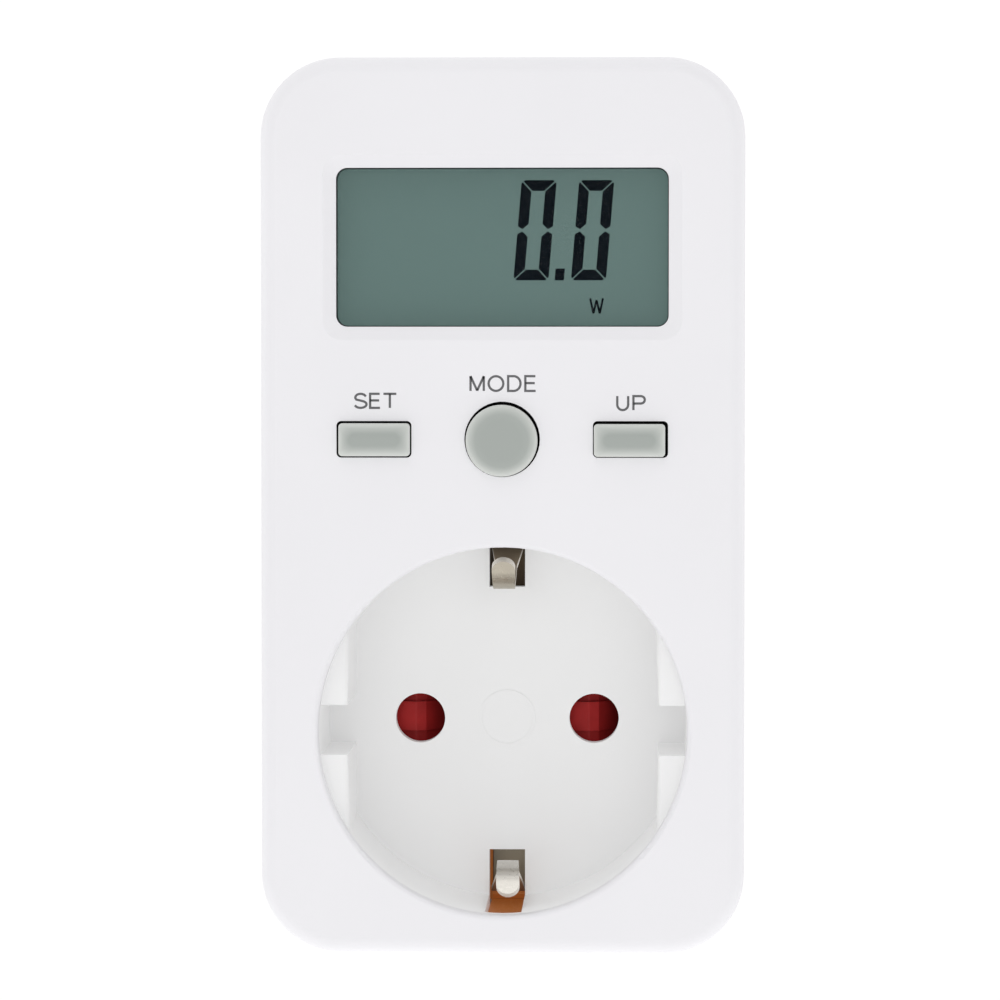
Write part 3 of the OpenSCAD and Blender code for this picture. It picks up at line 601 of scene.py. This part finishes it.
def make_shutter_spring():
    """A coil spring in the place of the CAD shutter spring."""
    low, high = (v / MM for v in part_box("shutter_spring"))
    wire = 0.18
    turns = 5
    steps = 24
    sides = 10
    nudge = 0.001
    coil = (high.z - low.z) / 2 - wire
    mid = (low + high) / 2
    length = high.x - low.x - 2 * wire

    def place(t):
        turn = 2 * math.pi * turns * t
        return Vector((low.x + wire + length * t,
                       mid.y + coil * math.cos(turn),
                       mid.z + coil * math.sin(turn)))

    solid = Solid()
    rings = []
    for i in range(turns * steps + 1):
        t = i / (turns * steps)
        along = (place(t + nudge) - place(t - nudge)).normalized()
        rings.append(tube_ring(place(t), along, wire * 0.98, sides))
    solid.loft(rings)
    spring = add_piece("coil_spring", solid.verts, solid.faces, SPRING, "housing")
    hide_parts("shutter_spring")
    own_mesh(spring)


# ---- display segments and printed labels ----

def extruded(outline, y_front, y_back):
    """A flat prism: its points and faces, with the outline as (x, z) pairs."""
    n = len(outline)
    verts = [(x, y_front, z) for x, z in outline] + [(x, y_back, z) for x, z in outline]
    faces = [tuple(range(n)), tuple(range(2 * n - 1, n - 1, -1))]
    faces += [(k, k + n, (k + 1) % n + n, (k + 1) % n) for k in range(n)]
    return verts, faces


def flat_piece(name, prisms, material):
    """One mesh from several flat prisms."""
    verts = []
    faces = []
    for prism_verts, prism_faces in prisms:
        start = len(verts)
        verts.extend(prism_verts)
        faces.extend(tuple(i + start for i in face) for face in prism_faces)
    piece = add_piece(name, verts, faces, material, "housing", smooth=False)


# The reading, in millimetres; heights are from the display's middle
DIGIT_W = 3.70
DIGIT_H = 10.56
STROKE = 1.12
DIGIT_LEAN = 0.083
DIGIT_LEFTS = (1.1, 7.18)
DIGIT_BASE = LCD_Z / MM - 3.44
POINT_LEFT = 5.46
POINT_W = 0.98
POINT_H = 1.24
UNIT_LEFT = 9.22
UNIT_BASE = LCD_Z / MM - 6.94
UNIT_W = 1.35
UNIT_H = 1.6
UNIT_HALF_STROKE = 0.11


def digit_zero():
    """Outlines of the six lit segments of a nought, upright, from its lower left corner."""
    w = DIGIT_W
    h = DIGIT_H
    t = STROKE
    gap = 0.09
    nick = 0.13
    corner = 0.24
    mid = h / 2
    top = [(corner + gap, h), (nick + gap, h - nick), (t + gap, h - t), (w - t - gap, h - t),
           (w - nick - gap, h - nick), (w - corner - gap, h)]
    upper_left = [(0, h - corner - gap), (nick, h - nick - gap), (t, h - t - gap), (t, mid + 0.68),
                  (0.45 * t, mid + 0.12), (0, mid + 0.42)]
    quarter = [upper_left, [(w - x, z) for x, z in upper_left]]
    halves = [top] + quarter
    return halves + [[(x, h - z) for x, z in outline] for outline in halves]


def leaned(outline, x0, z0):
    """An outline moved to its place and leaned like the display's digits."""
    return [(x0 + x + DIGIT_LEAN * z, z0 + z) for x, z in outline]


def make_display_segments():
    """The reading: two noughts, the point between them and a small unit letter."""
    y_front = LCD_LOW.y / MM - 0.03
    y_back = LCD_LOW.y / MM + 0.01
    point = [(0, 0), (POINT_W, 0), (POINT_W, POINT_H), (0, POINT_H)]
    outlines = [leaned(o, x, DIGIT_BASE) for x in DIGIT_LEFTS for o in digit_zero()]
    outlines.append(leaned(point, POINT_LEFT, DIGIT_BASE))
    prisms = [extruded(o, y_front, y_back) for o in outlines]
    for x, z, x_end in ((0, 1, 0.25), (0.5, 0.88, 0.25), (0.5, 0.88, 0.75), (1, 1, 0.75)):
        stroke = [(UNIT_LEFT + UNIT_W * x, UNIT_BASE + UNIT_H * z),
                  (UNIT_LEFT + UNIT_W * x_end, UNIT_BASE)]
        prisms.append(ribbon(stroke, UNIT_HALF_STROKE, y_front, y_back))
    flat_piece("display_segments", prisms, SEGMENT)


LABEL_HALF_STROKE = 0.12
MITRE_LIMIT = 0.45


def arc(cx, cz, rx, rz, start, end, steps=10):
    """Points of part of an ellipse, with angles in degrees from the right."""
    turns = [math.radians(start + (end - start) * k / steps) for k in range(steps + 1)]
    return [(cx + rx * math.cos(a), cz + rz * math.sin(a)) for a in turns]


def ribbon(points, half, y_front, y_back, closed=False):
    """A flat printed stroke along a path: its points and faces."""
    n = len(points)
    path = [Vector(p) for p in points]
    verts = []
    for i, p in enumerate(path):
        before = path[i - 1] if i > 0 or closed else None
        after = path[(i + 1) % n] if i < n - 1 or closed else None
        first = (p - before).normalized() if before is not None else (after - p).normalized()
        second = (after - p).normalized() if after is not None else first
        bisector = (first + second).normalized()
        normal = Vector((-bisector.y, bisector.x))
        reach = half / max(MITRE_LIMIT, abs(Vector((-first.y, first.x)).dot(normal)))
        for y in (y_front, y_back):
            for s in (1, -1):
                q = p + normal * reach * s
                verts.append((q.x, y, q.y))
    faces = []
    for i in range(n if closed else n - 1):
        a = 4 * i
        b = 4 * ((i + 1) % n)
        faces += [(a, b, b + 1, a + 1), (a + 2, a + 3, b + 3, b + 2),
                  (a, a + 2, b + 2, b), (a + 1, b + 1, b + 3, a + 3)]
    if not closed:
        faces += [(0, 1, 3, 2), (4 * n - 4, 4 * n - 2, 4 * n - 1, 4 * n - 3)]
    return verts, faces


# Strokes of each letter on a height of one: (strokes, width), where a stroke is (points, closed)
LETTERS = {
    "S": ([(arc(0.41, 0.74, 0.38, 0.26, 15, 215)
            + arc(0.41, 0.25, 0.42, 0.25, 75, -165, 14), False)], 0.84),
    "E": ([([(0.70, 0), (0, 0), (0, 1), (0.68, 1)], False),
           ([(0, 0.53), (0.64, 0.53)], False)], 0.70),
    "T": ([([(0, 1), (0.92, 1)], False), ([(0.46, 1), (0.46, 0)], False)], 0.92),
    "M": ([([(x, 0), (x, 1)], False) for x in (0, 0.9)]
          + [([(x, 1), (0.45, 0.02)], False) for x in (0, 0.9)], 0.90),
    "O": ([(arc(0.5, 0.5, 0.5, 0.5, 0, 342, 19), True)], 1.0),
    "D": ([([(0, 0), (0, 1)] + arc(0.38, 0.5, 0.46, 0.5, 90, -90, 14), True)], 0.84),
    "U": ([([(0, 1)] + arc(0.39, 0.38, 0.39, 0.38, 180, 360) + [(0.78, 1)], False)], 0.78),
    "P": ([([(0, 0), (0, 1)] + arc(0.52, 0.735, 0.29, 0.265, 90, -90)
            + [(0, 0.47)], False)], 0.81),
}


def make_label(name, word, button, width, height, shift, gap_below):
    """A word in thin strokes over a button, with equal gaps between its letters."""
    low, high = front_part_box(button)
    half = LABEL_HALF_STROKE
    letter_h = height - 2 * half
    widths = [LETTERS[letter][1] * letter_h for letter in word]
    gap = (width - 2 * half - sum(widths)) / (len(word) - 1)
    prisms = []
    x = (low.x + high.x) / 2 + shift - width / 2 + half
    base = high.z + gap_below + half
    for letter, letter_w in zip(word, widths):
        for points, closed in LETTERS[letter][0]:
            placed = [(x + letter_h * px, base + letter_h * pz) for px, pz in points]
            prisms.append(ribbon(placed, half, FACE - 0.012, FACE + 0.01, closed))
        x += letter_w + gap
    flat_piece(name, prisms, PRINT)


# ---- camera, light and floor ----

def make_camera():
    """Stands level with the upper half of the face and a little to its right."""
    distance = 463 * MM
    data = bpy.data.cameras.new("camera")
    data.sensor_width = 36
    data.lens = 158.53
    data.clip_start = 0.01
    data.clip_end = 20
    camera = bpy.data.objects.new("camera", data)
    bpy.context.scene.collection.objects.link(camera)
    aside = 14.93 * MM
    rise = 17.63 * MM
    camera.location = (aside, FACE_Y - distance, CENTRE_Z + rise)
    target = Vector((-0.22 * MM, FACE_Y, CENTRE_Z + 0.72 * MM))
    camera.rotation_mode = "QUATERNION"
    camera.rotation_quaternion = (target - camera.location).to_track_quat("-Z", "Y")
    bpy.context.scene.camera = camera


def softbox(name, place, target, size, power):
    """A rectangular area light that faces its target."""
    data = bpy.data.lights.new(name, "AREA")
    data.shape = "RECTANGLE"
    data.size = size[0]
    data.size_y = size[1]
    data.energy = power
    light = bpy.data.objects.new(name, data)
    bpy.context.scene.collection.objects.link(light)
    light.location = place
    light.rotation_mode = "QUATERNION"
    light.rotation_quaternion = (Vector(target) - Vector(place)).to_track_quat("-Z", "Y")


def make_light():
    """A white tent that is brighter in front of the meter, with a weak softbox above."""
    world = bpy.data.worlds.new("studio")
    bpy.context.scene.world = world
    world.use_nodes = True
    tree = world.node_tree
    background = tree.nodes["Background"]
    background.inputs["Color"].default_value = (1, 1, 1, 1)
    coords = tree.nodes.new("ShaderNodeTexCoord")
    split = tree.nodes.new("ShaderNodeSeparateXYZ")
    level = tree.nodes.new("ShaderNodeMapRange")
    level.inputs["From Min"].default_value = -1.0
    level.inputs["From Max"].default_value = 1.0
    curve = tree.nodes.new("ShaderNodeValToRGB")
    brightness = 1.58
    # Strength from in front of the meter, 0, to behind it, 1
    stops = [(0.0, 1.0), (0.02, 1.0), (0.06, 0.42), (0.34, 0.42), (0.44, 0.80), (0.7, 0.66)]
    for i, (place, value) in enumerate(stops):
        stop = curve.color_ramp.elements[i] if i < 2 else curve.color_ramp.elements.new(place)
        stop.position = place
        stop.color = (value, value, value, 1)
    scale = tree.nodes.new("ShaderNodeMath")
    scale.operation = "MULTIPLY"
    scale.inputs[1].default_value = brightness
    tree.links.new(coords.outputs["Generated"], split.inputs["Vector"])
    tree.links.new(split.outputs["Y"], level.inputs["Value"])
    tree.links.new(level.outputs["Result"], curve.inputs["Fac"])
    tree.links.new(curve.outputs["Color"], scale.inputs[0])
    tree.links.new(scale.outputs["Value"], background.inputs["Strength"])
    softbox("top_light", (-0.15, -0.55, 0.75), (0, FACE_Y, CENTRE_Z), (0.5, 0.5), 0.8)
    view = bpy.context.scene.view_settings
    view.view_transform = "Standard"
    view.look = "None"


def make_floor():
    """A pale finite floor well below the meter, clear when it is seen from underneath."""
    mesh = bpy.data.meshes.new("floor")
    half = 1.2
    height = -0.45
    back = 1.0
    corners = [(-half, -half), (half, -half), (half, back), (-half, back)]
    mesh.from_pydata([(x, y, height) for x, y in corners], [], [(0, 1, 2, 3)])
    floor = bpy.data.objects.new("floor", mesh)
    bpy.context.scene.collection.objects.link(floor)
    pale = finish_of("floor_pale", (0.70, 0.70, 0.70), 0.7, grain=300)
    shader = pale.node_tree.nodes["Principled BSDF"]
    shader.inputs["Emission Color"].default_value = (1, 1, 1, 1)
    shader.inputs["Emission Strength"].default_value = 0.5
    tree = pale.node_tree
    side = tree.nodes.new("ShaderNodeNewGeometry")
    clear = tree.nodes.new("ShaderNodeBsdfTransparent")
    mix = tree.nodes.new("ShaderNodeMixShader")
    tree.links.new(side.outputs["Backfacing"], mix.inputs["Fac"])
    tree.links.new(shader.outputs["BSDF"], mix.inputs[1])
    tree.links.new(clear.outputs["BSDF"], mix.inputs[2])
    tree.links.new(mix.outputs["Shader"], tree.nodes["Material Output"].inputs["Surface"])
    floor.data.materials.append(pale)


make_camera()
make_light()
make_floor()
dress_cad_nodes()
round_guide_rims()
# Painted shade on the walls of the button holes
paint_faces("front_shell", GAP_SHADE, in_button_hole)
# Painted shade on the window's sides
paint_faces("lcd_window", PANE_EDGE_SHADE, in_pane_side)
# The lower foot gets the strap's copper with its painted glow; its upper half gets painted shade
paint_faces("earth_spring_feet", COPPER, on_lower_foot)
paint_faces("earth_spring_feet", FOOT_UPPER_SHADE, in_upper_half)
make_cap("set_cap_shape", "set_button", "set_cap", 0.4, 6, 0.08)
make_cap("mode_cap_shape", "mode_button", "mode_cap", 3.8, 14, 0.02)
make_cap("up_cap_shape", "up_button", "up_cap", 0.4, 6, 0.05)
make_earth_leaf("upper_leaf_strip", "upper_earth_spring", "upper_leaf", 1, -0.2, SHADED_SPRING)
make_earth_leaf("lower_leaf_strip", "lower_earth_spring", "lower_leaf", -1, 1.5, SPRING)
make_shutter_spring()
make_display_segments()
make_label("set_label", "SET", "set_button", 4.61, 1.72, 0.135, 1.42)
make_label("mode_label", "MODE", "mode_button", 7.09, 1.79, 0.155, 1.315)
make_label("up_label", "UP", "up_button", 3.13, 1.71, 0.155, 1.30)
